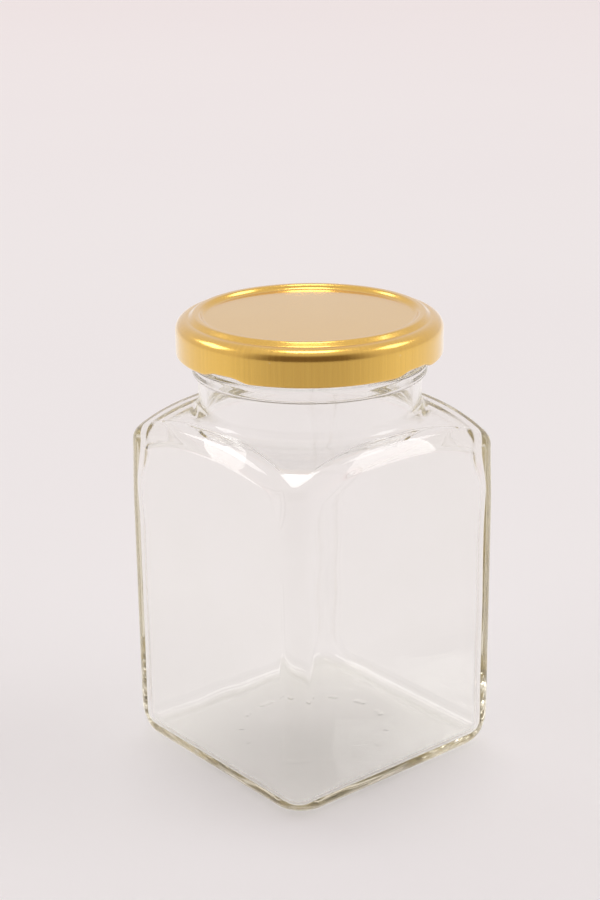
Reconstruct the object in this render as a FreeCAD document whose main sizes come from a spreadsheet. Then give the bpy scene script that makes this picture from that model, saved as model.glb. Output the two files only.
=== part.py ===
"""Square glass preserving jar with a gold twist-off metal lid.

The jar stands on z = 0 with its axis on +Z and its flat faces square to X and Y.
All lengths are millimetres and all angles are degrees.
"""
import FreeCAD
import Part
import math
import os

import Sketcher
from FreeCAD import Vector

SHEET = "Sizes"

SIZES = {
    # Glass body: a rounded square tube on a rounded heel.
    "body_side": 67.0,
    "corner_radius": 4.6,
    "heel_radius": 4.2,
    "body_wall": 2.2,
    "floor_height": 3.2,
    "floor_rounding": 2.1,
    "rounding_margin": 0.2,
    "pushup_radius": 25.0,
    "pushup_depth": 1.5,
    # Shoulder: a shallow dome cut off by the four faces.
    "shoulder_height": 90.8,
    "shoulder_drop": 8.8,
    "shoulder_arc": 34.0,
    "shoulder_edge": 4.2,
    "shoulder_wall": 2.4,
    # Neck, bead and finish, from the shoulder up to the rim.
    "finish_radius": 28.8,
    "neck_step": 1.1,
    "bead_step": 0.4,
    "neck_height": 9.7,
    "bead_height": 3.2,
    "finish_height": 10.4,
    "neck_wall": 2.0,
    "neck_root": 2.2,
    "bead_rounding": 0.9,
    "rim_rounding": 0.8,
    # Thread segments on the glass.
    "thread_depth": 2.2,
    "thread_height": 2.0,
    "thread_slant": 0.5,
    "thread_span": 62.0,
    # Lid: pressed tinplate with a curled hem and inward lugs.
    "tin_thickness": 0.3,
    "lid_height": 10.1,
    "hem_size": 1.6,
    "thread_clearance": 0.4,
    "ledge_width": 3.3,
    "crest_rise": 1.05,
    "crest_slope": 1.1,
    "crest_width": 1.5,
    "panel_slope": 1.0,
    "panel_drop": 1.1,
    "lid_shoulder": 2.9,
    "ledge_rounding": 0.8,
    "crest_rounding": 1.0,
    "panel_rounding": 1.3,
    "lug_span": 22.0,
    "lug_lift": 0.8,
    "lug_thickness": 0.9,
    "lug_gap": 0.5,
    "lug_count": 4,
    "lid_turn": 11.5,
    # Sealing ring between the rim and the channel of the lid.
    "seal_height": 1.0,
    "seal_width": 1.9,
    "seal_clearance": 0.2,
}


class Length:
    """A length that knows both its present value and the sheet expression behind it."""

    def __init__(self, value, text):
        self.value = value
        self.text = text

    @staticmethod
    def of(thing):
        """The thing itself if it is a Length, or else the number as a Length."""
        return thing if isinstance(thing, Length) else Length(float(thing), repr(thing))

    def join(self, sign, other, value):
        """A Length with a value, whose expression joins this one and another by a sign."""
        return Length(value, f"({self.text} {sign} {other.text})")

    def __add__(self, other):
        other = Length.of(other)
        return self.join("+", other, self.value + other.value)

    def __sub__(self, other):
        other = Length.of(other)
        return self.join("-", other, self.value - other.value)

    def __mul__(self, other):
        other = Length.of(other)
        return self.join("*", other, self.value * other.value)

    def __truediv__(self, other):
        other = Length.of(other)
        return self.join("/", other, self.value / other.value)

    def __neg__(self):
        return Length.of(0) - self


def size(name):
    """The named driving dimension, as a Length bound to its cell."""
    return Length(SIZES[name], f"{SHEET}.{name}")


def smaller(first, second):
    """The smaller of two Lengths."""
    return Length(min(first.value, second.value), f"min({first.text}; {second.text})")


ORIGIN = Length.of(0)
SAME = 1e-4  # two places closer than this are the same place
CLEARANCE = 2  # how far a cutting outline reaches past the glass or tin it cuts
HALF_DIAGONAL = 0.7072  # half the diagonal of a square of side one, rounded up


def make_sheet(doc):
    """Write every driving dimension into the sheet, one aliased cell each."""
    sheet = doc.addObject("Spreadsheet::Sheet", SHEET)
    for row, (name, value) in enumerate(SIZES.items(), start=1):
        sheet.set(f"A{row}", name)
        sheet.set(f"B{row}", str(value))
        sheet.setAlias(f"B{row}", name)
    doc.recompute()


def new_sketch(body, name, role, turn=None):
    """A sketch on one of the body's own origin planes, turned about the body's axis if asked."""
    sketch = body.newObject("Sketcher::SketchObject", name)
    plane = next(item for item in body.Origin.OriginFeatures if item.Role == role)
    sketch.AttachmentSupport = (plane, [""])
    sketch.MapMode = "FlatFace"
    if turn is not None:
        sketch.AttachmentOffset = FreeCAD.Placement(Vector(), Vector(0, 1, 0), turn.value)
        sketch.setExpression("AttachmentOffset.Rotation.Angle", turn.text)
    return sketch


def pin(sketch, item, end, point):
    """Hold one end of a sketch item at a point given by two Lengths."""
    axes = (("DistanceX", -2, point[0]), ("DistanceY", -1, point[1]))
    for kind, axis, length in axes:
        if abs(length.value) < SAME:
            sketch.addConstraint(Sketcher.Constraint("PointOnObject", item, end, axis))
        else:
            index = sketch.addConstraint(Sketcher.Constraint(kind, -1, 1, item, end, length.value))
            sketch.setExpression(f"Constraints[{index}]", length.text)


def arc_geometry(start, end, radius, centre_on_left):
    """The minor arc between two points, with the sketch positions of its start and end."""
    middle = (start + end) * 0.5
    chord = end - start
    rise = math.sqrt(radius**2 - (chord.Length / 2) ** 2)
    left = Vector(-chord.y, chord.x, 0).normalize()
    centre = middle + left * (rise if centre_on_left else -rise)
    first, last = (start, end) if centre_on_left else (end, start)
    angles = [math.atan2(point.y - centre.y, point.x - centre.x) for point in (first, last)]
    if angles[1] < angles[0]:
        angles[1] += 2 * math.pi
    circle = Part.Circle(centre, Vector(0, 0, 1), radius)
    return Part.ArcOfCircle(circle, *angles), (1, 2) if centre_on_left else (2, 1)


def draw_outline(sketch, corners):
    """Draw a closed outline through corners of (across, up[, radius, centre_on_left]).

    A corner with a radius starts an arc to the next corner; the others start straight lines.
    """
    points = [Vector(corner[0].value, corner[1].value, 0) for corner in corners]
    ends = []
    for index, corner in enumerate(corners):
        start = points[index]
        end = points[(index + 1) % len(points)]
        if len(corner) == 2:
            item = sketch.addGeometry(Part.LineSegment(start, end))
            ends.append((item, 1, 2))
        else:
            arc, (first, last) = arc_geometry(start, end, corner[2].value, corner[3])
            item = sketch.addGeometry(arc)
            ends.append((item, first, last))
    for index, (item, _, last) in enumerate(ends):
        following, first, _ = ends[(index + 1) % len(ends)]
        sketch.addConstraint(Sketcher.Constraint("Coincident", item, last, following, first))
    for corner, (item, first, _) in zip(corners, ends):
        pin(sketch, item, first, corner)
        if len(corner) > 2:
            index = sketch.addConstraint(Sketcher.Constraint("Radius", item, corner[2].value))
            sketch.setExpression(f"Constraints[{index}]", corner[2].text)


def draw_circle(sketch, centre, radius):
    """Draw a circle whose centre and radius are Lengths."""
    place = Vector(centre[0].value, centre[1].value, 0)
    item = sketch.addGeometry(Part.Circle(place, Vector(0, 0, 1), radius.value))
    pin(sketch, item, 3, centre)
    index = sketch.addConstraint(Sketcher.Constraint("Radius", item, radius.value))
    sketch.setExpression(f"Constraints[{index}]", radius.text)


def add_pad(body, name, sketch, length):
    """Pad a sketch straight up by a Length."""
    pad = body.newObject("PartDesign::Pad", name)
    pad.Profile = sketch
    pad.Length = length.value
    pad.setExpression("Length", length.text)
    sketch.Document.recompute()
    return pad


def add_turning(body, kind, name, sketch, angle=None):
    """A Revolution or Groove of a sketch about the body's axis, all round or across an angle."""
    feature = body.newObject(f"PartDesign::{kind}", name)
    feature.Profile = sketch
    feature.ReferenceAxis = (sketch, ["V_Axis"])
    feature.Angle = 360.0
    if angle is not None:
        feature.Midplane = True
        feature.Angle = angle.value
        feature.setExpression("Angle", angle.text)
    sketch.Document.recompute()
    return feature


def add_fillet(body, name, base, radius, wanted):
    """Round every edge of the base feature for which wanted(edge) holds."""
    names = [f"Edge{i}" for i, edge in enumerate(base.Shape.Edges, start=1) if wanted(edge)]
    if not names:
        raise RuntimeError(f"{name}: no edge to round")
    fillet = body.newObject("PartDesign::Fillet", name)
    fillet.Base = (base, names)
    fillet.Radius = radius.value
    fillet.setExpression("Radius", radius.text)
    base.Document.recompute()
    return fillet


def add_polar_pattern(body, name, originals, sketch):
    """Repeat features evenly about the body's axis, as many times as the lid has lugs."""
    pattern = body.newObject("PartDesign::PolarPattern", name)
    pattern.Originals = originals
    pattern.Axis = (sketch, ["V_Axis"])
    pattern.Angle = 360.0
    pattern.Occurrences = int(size("lug_count").value)
    pattern.setExpression("Occurrences", size("lug_count").text)
    body.Tip = pattern
    sketch.Document.recompute()
    return pattern


def circle_at(radius, height):
    """A test for the circular edges of a given radius and height about the axis."""

    def wanted(edge):
        curve = edge.Curve
        if not isinstance(curve, Part.Circle):
            return False
        return (
            abs(curve.Radius - radius.value) < SAME
            and abs(curve.Center.z - height.value) < SAME
            and math.hypot(curve.Center.x, curve.Center.y) < SAME
        )

    return wanted


def at_height(height):
    """A test for the edges that lie level at a height."""

    def wanted(edge):
        span = edge.LastParameter - edge.FirstParameter
        points = [edge.valueAt(edge.FirstParameter + span * part) for part in (0, 0.5, 1)]
        return all(abs(point.z - height.value) < SAME for point in points)

    return wanted


def shoulder_rim(crown):
    """A test for the arched edges where a dome that rises to the crown meets the upright walls."""

    def wanted(edge):
        box = edge.BoundBox
        return box.ZMin > crown.value / 2 and box.ZMax < crown.value - SAME

    return wanted


# Derived lengths that more than one piece uses.
NECK_RADIUS = size("finish_radius") - size("neck_step")
BORE_RADIUS = NECK_RADIUS - size("neck_wall")
BEAD_RADIUS = size("finish_radius") + size("bead_step")
THREAD_RADIUS = size("finish_radius") + size("thread_depth")
BEAD_BASE = size("shoulder_height") + size("neck_height")
BEAD_TOP = BEAD_BASE + size("bead_height")
RIM_TOP = BEAD_TOP + size("finish_height")
LID_RADIUS = THREAD_RADIUS + size("thread_clearance") + size("hem_size")
CREST_TOP = RIM_TOP + size("seal_height") + size("seal_clearance") + size("tin_thickness")
LID_BASE = CREST_TOP - size("lid_height")
CREST_OUTSIDE = LID_RADIUS - size("ledge_width") - size("crest_slope")
CREST_INSIDE = CREST_OUTSIDE - size("crest_width")


def rounded_square(side, radius):
    """The corners of a square outline about the axis, with rounded corners, anticlockwise."""
    half = side / 2
    flat = half - radius
    return [
        (half, -flat),
        (half, flat, radius, True),
        (flat, half),
        (-flat, half, radius, True),
        (-half, flat),
        (-half, -flat, radius, True),
        (-flat, -half),
        (flat, -half, radius, True),
    ]


def square_with_dome(body, side, radius, base, top, outline):
    """A rounded square block from base to top, turned down outside a profile about the axis."""
    plan = new_sketch(body, f"{body.Name}_plan", "XY_Plane")
    plan.AttachmentOffset = FreeCAD.Placement(Vector(0, 0, base.value), FreeCAD.Rotation())
    plan.setExpression("AttachmentOffset.Base.z", base.text)
    draw_outline(plan, rounded_square(side, radius))
    block = add_pad(body, f"{body.Name}_block", plan, top - base)
    profile = new_sketch(body, f"{body.Name}_profile", "XZ_Plane")
    draw_outline(profile, outline)
    turned = add_turning(body, "Groove", f"{body.Name}_turned", profile)
    if turned.Shape.Volume >= block.Shape.Volume:
        raise RuntimeError(f"{body.Name}: the turned profile removed nothing")
    return turned


def add_pushup(body, name, base):
    """Cut the shallow dish of the pushed-up bottom into a body's underside."""
    across = size("pushup_radius")
    depth = size("pushup_depth")
    sphere = (across * across + depth * depth) / (depth * 2)
    dish = new_sketch(body, f"{name}_profile", "XZ_Plane")
    draw_outline(dish, [(ORIGIN, base), (across, base, sphere, True), (ORIGIN, base + depth)])
    return add_turning(body, "Groove", name, dish)


def make_outside(doc):
    """The glass as one full solid: square body, domed shoulder, neck, bead and finish."""
    body = doc.addObject("PartDesign::Body", "outside")
    reach = size("body_side") * HALF_DIAGONAL
    outline = [
        (reach, size("shoulder_height") - size("shoulder_drop"), size("shoulder_arc"), True),
        (NECK_RADIUS, size("shoulder_height")),
        (NECK_RADIUS, BEAD_BASE),
        (BEAD_RADIUS, BEAD_BASE),
        (BEAD_RADIUS, BEAD_TOP),
        (size("finish_radius"), BEAD_TOP),
        (size("finish_radius"), RIM_TOP + CLEARANCE),
        (reach, RIM_TOP + CLEARANCE),
    ]
    tip = square_with_dome(body, size("body_side"), size("corner_radius"), ORIGIN, RIM_TOP, outline)
    tip = add_fillet(
        body, "shoulder_edges", tip, size("shoulder_edge"), shoulder_rim(size("shoulder_height"))
    )
    tip = add_fillet(body, "heel", tip, size("heel_radius"), at_height(ORIGIN))
    tip = add_fillet(
        body, "neck_root", tip, size("neck_root"), circle_at(NECK_RADIUS, size("shoulder_height"))
    )
    tip = add_fillet(
        body, "bead_lower_edge", tip, size("bead_rounding"), circle_at(BEAD_RADIUS, BEAD_BASE)
    )
    add_fillet(body, "rim_edge", tip, size("rim_rounding"), circle_at(size("finish_radius"), RIM_TOP))

    add_pushup(body, "pushup", ORIGIN)

    thread = new_sketch(body, "thread_profile", "XZ_Plane", size("lid_turn"))
    root = size("finish_radius") - size("neck_wall") / 2
    foot = LID_BASE + size("hem_size") + size("thread_clearance")
    head = foot + size("thread_height")
    slant = size("thread_slant")
    draw_outline(
        thread,
        [(root, foot), (THREAD_RADIUS, foot + slant), (THREAD_RADIUS, head - slant), (root, head)],
    )
    segment = add_turning(body, "Revolution", "thread_segment", thread, size("thread_span"))
    add_polar_pattern(body, "thread", [segment], thread)
    return body


def make_inside(doc):
    """The hollow of the jar: square below, domed under the shoulder, round in the neck."""
    body = doc.addObject("PartDesign::Body", "inside")
    wall = size("body_wall")
    side = size("body_side") - wall * 2
    reach = side * HALF_DIAGONAL
    crown = size("shoulder_height") - size("shoulder_wall")
    over_rim = RIM_TOP + CLEARANCE
    flare = size("rim_rounding")
    outline = [
        (reach, crown - size("shoulder_drop"), size("shoulder_arc"), True),
        (BORE_RADIUS, crown),
        (BORE_RADIUS, RIM_TOP - flare, flare, False),
        (BORE_RADIUS + flare, RIM_TOP),
        (BORE_RADIUS + flare, over_rim + CLEARANCE),
        (reach, over_rim + CLEARANCE),
    ]
    radius = size("corner_radius") - wall
    tip = square_with_dome(body, side, radius, size("floor_height"), over_rim, outline)
    edge = size("shoulder_edge") - wall
    tip = add_fillet(body, "hollow_shoulder_edges", tip, edge, shoulder_rim(crown))
    # The rounding round the floor stays a little smaller than the hollow's upright corners.
    rounding = smaller(size("floor_rounding"), radius - size("rounding_margin"))
    tip = add_fillet(body, "hollow_floor", tip, rounding, at_height(size("floor_height")))
    root = size("neck_root") + size("shoulder_wall")
    add_fillet(body, "hollow_neck_root", tip, root, circle_at(BORE_RADIUS, crown))
    add_pushup(body, "floor_pushup", size("floor_height"))
    return body


def make_jar(doc):
    """The glass jar: the full outside with the hollow cut out of it."""
    jar = doc.addObject("Part::Cut", "jar")
    jar.Base = make_outside(doc)
    jar.Tool = make_inside(doc)
    doc.recompute()
    return jar


def make_lid(doc):
    """The pressed lid: crown, skirt, curled hem and the lugs under the thread."""
    body = doc.addObject("PartDesign::Body", "lid")
    hem_radius = size("hem_size") / 2
    skirt_base = LID_BASE + hem_radius
    ledge = CREST_TOP - size("crest_rise")
    panel = CREST_TOP - size("panel_drop")
    ledge_inside = LID_RADIUS - size("ledge_width")
    panel_radius = CREST_INSIDE - size("panel_slope")
    crown = new_sketch(body, "crown_profile", "XZ_Plane")
    draw_outline(
        crown,
        [
            (ORIGIN, skirt_base),
            (LID_RADIUS, skirt_base),
            (LID_RADIUS, ledge),
            (ledge_inside, ledge),
            (CREST_OUTSIDE, CREST_TOP),
            (CREST_INSIDE, CREST_TOP),
            (panel_radius, panel),
            (ORIGIN, panel),
        ],
    )
    tip = add_turning(body, "Revolution", "crown", crown)
    roundings = [
        ("lid_shoulder", "lid_shoulder", LID_RADIUS, ledge),
        ("ledge_corner", "ledge_rounding", ledge_inside, ledge),
        ("crest_outer_edge", "crest_rounding", CREST_OUTSIDE, CREST_TOP),
        ("crest_inner_edge", "crest_rounding", CREST_INSIDE, CREST_TOP),
        ("panel_corner", "panel_rounding", panel_radius, panel),
    ]
    for name, rounding, radius, height in roundings:
        tip = add_fillet(body, name, tip, size(rounding), circle_at(radius, height))

    mouth = next(
        f"Face{i}"
        for i, face in enumerate(tip.Shape.Faces, start=1)
        if abs(face.BoundBox.ZMax - skirt_base.value) < SAME
    )
    shell = body.newObject("PartDesign::Thickness", "tinplate")
    shell.Base = (tip, [mouth])
    shell.Value = size("tin_thickness").value
    shell.setExpression("Value", size("tin_thickness").text)
    shell.Reversed = True
    doc.recompute()

    hem = new_sketch(body, "hem_profile", "XZ_Plane")
    draw_circle(hem, (LID_RADIUS - hem_radius, skirt_base), hem_radius)
    add_turning(body, "Revolution", "hem", hem)

    lug_base = LID_BASE + size("lug_lift")
    lug_top = lug_base + size("lug_thickness")
    lift = new_sketch(body, "lift_profile", "XZ_Plane", size("lid_turn"))
    inside = LID_RADIUS - size("hem_size") - CLEARANCE
    outside = LID_RADIUS + CLEARANCE
    under = LID_BASE - CLEARANCE
    draw_outline(
        lift,
        [(inside, under), (outside, under), (outside, lug_base), (inside, lug_base)],
    )
    lifted = add_turning(body, "Groove", "hem_lift", lift, size("lug_span"))
    add_polar_pattern(body, "hem_lifts", [lifted], lift)

    tab = new_sketch(body, "lug_profile", "XZ_Plane", size("lid_turn"))
    tip_radius = size("finish_radius") + size("lug_gap")
    root_radius = LID_RADIUS - size("tin_thickness") / 2
    draw_outline(
        tab,
        [(tip_radius, lug_base), (root_radius, lug_base), (root_radius, lug_top), (tip_radius, lug_top)],
    )
    lug = add_turning(body, "Revolution", "lug", tab, size("lug_span"))
    add_polar_pattern(body, "lugs", [lug], tab)
    return body


def make_seal(doc):
    """The sealing ring that fills the lid's channel and bears on the rim."""
    body = doc.addObject("PartDesign::Body", "seal")
    centre = CREST_INSIDE + size("crest_width") / 2
    half = size("seal_width") / 2
    top = RIM_TOP + size("seal_height")
    narrow = half - size("seal_height") / 2
    ring = new_sketch(body, "seal_profile", "XZ_Plane")
    middle = RIM_TOP + size("seal_height") / 2
    draw_outline(
        ring,
        [
            (centre - half, RIM_TOP),
            (centre + half, RIM_TOP),
            (centre + half, middle),
            (centre + narrow, top),
            (centre - narrow, top),
            (centre - half, middle),
        ],
    )
    add_turning(body, "Revolution", "ring", ring)
    return body


def check(doc, nodes):
    """Stop if any object failed or any node's shape isn't one valid solid."""
    failed = [item.Name for item in doc.Objects if {"Invalid", "Error"} & set(item.State)]
    if failed:
        raise RuntimeError(f"failed objects: {failed}")
    for node in nodes:
        shape = node.Shape
        if shape.isNull() or not shape.isValid() or len(shape.Solids) != 1:
            raise RuntimeError(f"{node.Label}: its shape isn't one valid solid")


def main():
    """Build the document, check it and write one STEP file for each node."""
    doc = FreeCAD.newDocument("SquareJar")
    make_sheet(doc)
    nodes = [make_jar(doc), make_lid(doc), make_seal(doc)]
    for node in nodes:
        node.Label = node.Name
        node.Placement = FreeCAD.Placement()
    doc.recompute()
    check(doc, nodes)
    os.makedirs("parts", exist_ok=True)
    for node in nodes:
        node.Shape.exportStep(f"parts/{node.Label}.step")
        box = node.Shape.BoundBox
        print(
            f"{node.Label}: {node.Shape.Volume / 1000:.2f} cm3, "
            f"x {box.XMin:.2f}..{box.XMax:.2f}, y {box.YMin:.2f}..{box.YMax:.2f}, "
            f"z {box.ZMin:.2f}..{box.ZMax:.2f}"
        )


main()
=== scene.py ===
"""Looks of a square glass preserving jar with a gold twist-off lid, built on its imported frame.

Every length is in metres. The jar stands on z = 0 with its axis on +Z and its flat faces
square to X and Y.
"""

import logging
import math
from collections.abc import Sequence
from dataclasses import dataclass, field
from enum import Enum

import bmesh
import bpy
from mathutils import Euler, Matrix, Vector, noise


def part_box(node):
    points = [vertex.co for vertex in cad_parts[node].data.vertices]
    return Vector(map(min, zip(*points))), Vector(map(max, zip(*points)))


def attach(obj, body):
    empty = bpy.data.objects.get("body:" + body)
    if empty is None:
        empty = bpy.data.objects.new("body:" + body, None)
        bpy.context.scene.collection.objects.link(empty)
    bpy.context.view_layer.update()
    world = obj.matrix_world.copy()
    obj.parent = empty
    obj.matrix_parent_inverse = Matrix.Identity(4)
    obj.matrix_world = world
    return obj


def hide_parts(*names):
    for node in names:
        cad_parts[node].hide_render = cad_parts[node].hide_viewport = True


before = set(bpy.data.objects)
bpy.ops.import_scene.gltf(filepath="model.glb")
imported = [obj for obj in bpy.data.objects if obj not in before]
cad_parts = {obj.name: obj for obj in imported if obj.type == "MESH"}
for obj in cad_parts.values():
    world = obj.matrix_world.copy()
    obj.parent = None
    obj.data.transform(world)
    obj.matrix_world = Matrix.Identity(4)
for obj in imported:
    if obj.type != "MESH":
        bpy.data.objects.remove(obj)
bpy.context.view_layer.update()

MM = 0.001
QUARTER = math.pi / 2
FULL_TURN = 2 * math.pi
LIGHT_BOUNCES = 128  # light runs far along thick glass by inner reflection before it leaves
HALF_DIAGONAL = 0.7072
THREAD_LIFT = 2.0 * MM  # from the foot of the lid to the foot of the thread
LOG = logging.getLogger("square_jar")

Colour = tuple[float, float, float, float]
Range = tuple[float, float]
Ring = list[Vector]
Socket = bpy.types.NodeSocket
Material = bpy.types.Material
WHITE: Colour = (1.0, 1.0, 1.0, 1.0)
WHOLE: Range = (0.0, 1.0)


class Slot(Enum):
    """The material slots of the record."""

    GLASS = "clear_glass"
    TINPLATE = "gold_tinplate"
    COMPOUND = "sealing_compound"


@dataclass(frozen=True)
class Corner:
    """One corner of a profile in the half plane, with the radius that rounds it."""

    out: float
    up: float
    rounding: float = 0.0


def smooth_step(low: float, high: float, value: float) -> float:
    """Ease from 0 to 1 as a value goes from low to high.

    Args:
        low: Value at which the result leaves 0.
        high: Value at which the result reaches 1.
        value: The value itself.

    Returns:
        A number from 0 to 1.
    """
    share = min(1.0, max(0.0, (value - low) / (high - low)))
    return share * share * (3 - 2 * share)


def blend(first: float, second: float, share: float) -> float:
    """The number that lies the given share of the way from first to second."""
    return first + (second - first) * share


def along(stations: Sequence[Range], place: float) -> float:
    """Read a smooth curve through stations.

    Args:
        stations: Places and the values there, with the places rising.
        place: Where to read the curve.

    Returns:
        The value at that place.
    """
    if place <= stations[0][0]:
        return stations[0][1]
    for (low, first), (high, second) in zip(stations, stations[1:]):
        if place <= high:
            return blend(first, second, smooth_step(low, high, place))
    return stations[-1][1]


def rounded_profile(corners: Sequence[Corner], arc_steps: int, longest: float) -> list[Range]:
    """Turn a cornered profile into a fine one with its corners rounded.

    Args:
        corners: The corners in order.
        arc_steps: Steps across each rounded corner.
        longest: The longest step allowed on a straight run.

    Returns:
        Points of (distance from the axis, height) along the profile.
    """
    knots: Ring = [Vector((corners[0].out, corners[0].up))]
    for before, corner, after in zip(corners, corners[1:], corners[2:]):
        here = Vector((corner.out, corner.up))
        if corner.rounding == 0:
            knots.append(here)
            continue
        back = (Vector((before.out, before.up)) - here).normalized()
        ahead = (Vector((after.out, after.up)) - here).normalized()
        half_angle = back.angle(ahead) / 2
        centre = here + (back + ahead).normalized() * (corner.rounding / math.sin(half_angle))
        reach = corner.rounding / math.tan(half_angle)
        first = here + back * reach - centre
        last = here + ahead * reach - centre
        sweep = first.angle(last)
        for step in range(arc_steps + 1):
            share = step / arc_steps
            spoke = first * math.sin((1 - share) * sweep) + last * math.sin(share * sweep)
            knots.append(centre + spoke / math.sin(sweep))
    knots.append(Vector((corners[-1].out, corners[-1].up)))
    points = [tuple(knots[0])]
    for first, last in zip(knots, knots[1:]):
        pieces = max(1, math.ceil((last - first).length / longest))
        points += [tuple(first.lerp(last, step / pieces)) for step in range(1, pieces + 1)]
    return points


# Shader nodes


class Sheet:
    """A node tree that is filled in one node at a time."""

    def __init__(self, tree: bpy.types.NodeTree) -> None:
        """Start from an empty tree.

        Args:
            tree: The tree to fill.
        """
        self.tree = tree
        tree.nodes.clear()

    def add(
        self, kind: str, values: dict[str | int, object] | None = None, **settings: object
    ) -> bpy.types.Node:
        """Add a node.

        Args:
            kind: The node's type, without the ShaderNode that starts it.
            values: What each input gets, by its name or number: a value, or a socket to link.
            **settings: The node's own properties.

        Returns:
            The node.
        """
        node = self.tree.nodes.new("ShaderNode" + kind)
        for name, setting in settings.items():
            setattr(node, name, setting)
        for name, value in (values or {}).items():
            if isinstance(value, Socket):
                self.tree.links.new(value, node.inputs[name])
            else:
                node.inputs[name].default_value = value
        return node

    def sum(
        self, operation: str, first: object, second: object = 0.0, third: object = 0.0
    ) -> Socket:
        """Work out a number from up to three others, and return its socket."""
        node = self.add("Math", {0: first, 1: second, 2: third}, operation=operation)
        return node.outputs[0]

    def scaled(self, value: Socket, ends: Range, to: Range = WHOLE) -> Socket:
        """Carry a number from one range to another, held to its ends.

        Args:
            value: The number.
            ends: Where the range starts and ends.
            to: What those two become.

        Returns:
            The socket of the new number.
        """
        names = ("Value", "From Min", "From Max", "To Min", "To Max")
        given = dict(zip(names, (value, *ends, *to)))
        return self.add("MapRange", given).outputs["Result"]

    def tone(self, share: object, first: object, second: object) -> Socket:
        """Mix two colours by a share of the second."""
        given = {0: share, 6: first, 7: second}
        return self.add("Mix", given, data_type="RGBA").outputs[2]

    def put_out(self, mask: Socket) -> None:
        """Put a mask out of the group."""
        self.tree.links.new(mask, self.tree.nodes.new("NodeGroupOutput").inputs[0])

    def relief(self, height: Socket, depth: float) -> Socket:
        """The normals of a surface that is raised by up to a depth."""
        given = {"Height": height, "Distance": depth, "Strength": 1.0}
        return self.add("Bump", given).outputs[0]

    def distance(self, axes: Sequence[Socket]) -> Socket:
        """Distance from the upright axis of a place given by its separate coordinates."""
        across = self.sum("MULTIPLY", axes[0], axes[0])
        return self.sum("SQRT", self.sum("MULTIPLY_ADD", axes[1], axes[1], across))

    def place(self) -> Socket:
        """The object's own coordinates."""
        return self.add("TexCoord").outputs["Object"]


def new_group(
    name: str, **inputs: float
) -> tuple[bpy.types.NodeTree, Sheet, bpy.types.bpy_prop_collection]:
    """Start a shader node group that puts out one mask.

    Args:
        name: The group's name.
        **inputs: First value of each input, by its name in lower case.

    Returns:
        The group, its sheet and the sockets of its inputs.
    """
    group = bpy.data.node_groups.new(name, "ShaderNodeTree")
    sheet = Sheet(group)
    kind = "NodeSocketFloat"
    for label, value in inputs.items():
        socket = group.interface.new_socket(label.capitalize(), in_out="INPUT", socket_type=kind)
        socket.default_value = value
    group.interface.new_socket("Mask", in_out="OUTPUT", socket_type=kind)
    return group, sheet, group.nodes.new("NodeGroupInput").outputs


class Effects:
    """The shader node groups that more than one finish uses."""

    def __init__(self) -> None:
        """Build every group once."""
        self.grain = self.make_pressed_grain()
        self.patches = self.make_patches()
        self.specks = self.make_specks()

    def make_pressed_grain(self) -> bpy.types.NodeTree:
        """Surface of a pressed sheet: upright drawn lines outside a radius, fine mottling inside.

        Returns:
            A group with the lines' fineness and run, the mottling's scale and the radius in,
            and a mask out.
        """
        group, sheet, given = new_group(
            "pressed_grain", fineness=100.0, run=60.0, mottling=900.0, radius=0.03
        )
        place = sheet.place()
        axes = sheet.add("SeparateXYZ", {0: place}).outputs
        radius = sheet.distance(axes)
        around = sheet.sum("DIVIDE", given["Fineness"], sheet.sum("MAXIMUM", radius, MM))
        drawn = sheet.add(
            "CombineXYZ",
            {
                0: sheet.sum("MULTIPLY", axes[0], around),
                1: sheet.sum("MULTIPLY", axes[1], around),
                2: sheet.sum("MULTIPLY", axes[2], given["Run"]),
            },
        ).outputs[0]
        lines = sheet.add("TexNoise", {"Vector": drawn, "Scale": 1.0, "Detail": 2.0})
        mottled = sheet.add(
            "TexNoise", {"Vector": place, "Scale": given["Mottling"], "Detail": 2.0}
        )
        outside = sheet.sum("GREATER_THAN", radius, given["Radius"])
        chosen = sheet.add(
            "Mix", {0: outside, 2: mottled.outputs["Fac"], 3: lines.outputs["Fac"]}
        ).outputs[0]
        sheet.put_out(chosen)
        return group

    def make_patches(self) -> bpy.types.NodeTree:
        """Soft uneven patches, as in blown glass or handled metal.

        Returns:
            A group with the patches' scale and detail in, and a mask out.
        """
        group, sheet, given = new_group("soft_patches", scale=40.0, detail=2.0)
        cloud = sheet.add(
            "TexNoise",
            {
                "Vector": sheet.place(),
                "Scale": given["Scale"],
                "Detail": given["Detail"],
                "Roughness": 0.5,
            },
        )
        mask = sheet.scaled(cloud.outputs["Fac"], (0.3, 0.7))
        sheet.put_out(mask)
        return group

    def make_specks(self) -> bpy.types.NodeTree:
        """Scattered small round specks, such as seeds in glass or dust on metal.

        Returns:
            A group with the specks' spacing scale and size in, and a mask out.
        """
        group, sheet, given = new_group("scattered_specks", scale=200.0, size=0.06)
        cells = sheet.add("TexVoronoi", {"Vector": sheet.place(), "Scale": given["Scale"]})
        chosen = sheet.add("SeparateColor", {0: cells.outputs["Color"]}).outputs[0]
        few = sheet.sum("GREATER_THAN", chosen, 0.8)
        near = sheet.sum("LESS_THAN", cells.outputs["Distance"], given["Size"])
        sheet.put_out(sheet.sum("MULTIPLY", few, near))
        return group


def new_material(name: str) -> tuple[Material, Sheet]:
    """Start a material with an empty node tree.

    Args:
        name: The material's name.

    Returns:
        The material and its sheet.
    """
    material = bpy.data.materials.new(name)
    material.use_nodes = True
    return material, Sheet(material.node_tree)


def masked(sheet: Sheet, group: bpy.types.NodeTree, **values: float) -> Socket:
    """Place a group in a material, with its inputs in lower case, for its mask."""
    given = {name.capitalize(): value for name, value in values.items()}
    return sheet.add("Group", given, node_tree=group).outputs["Mask"]


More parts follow.
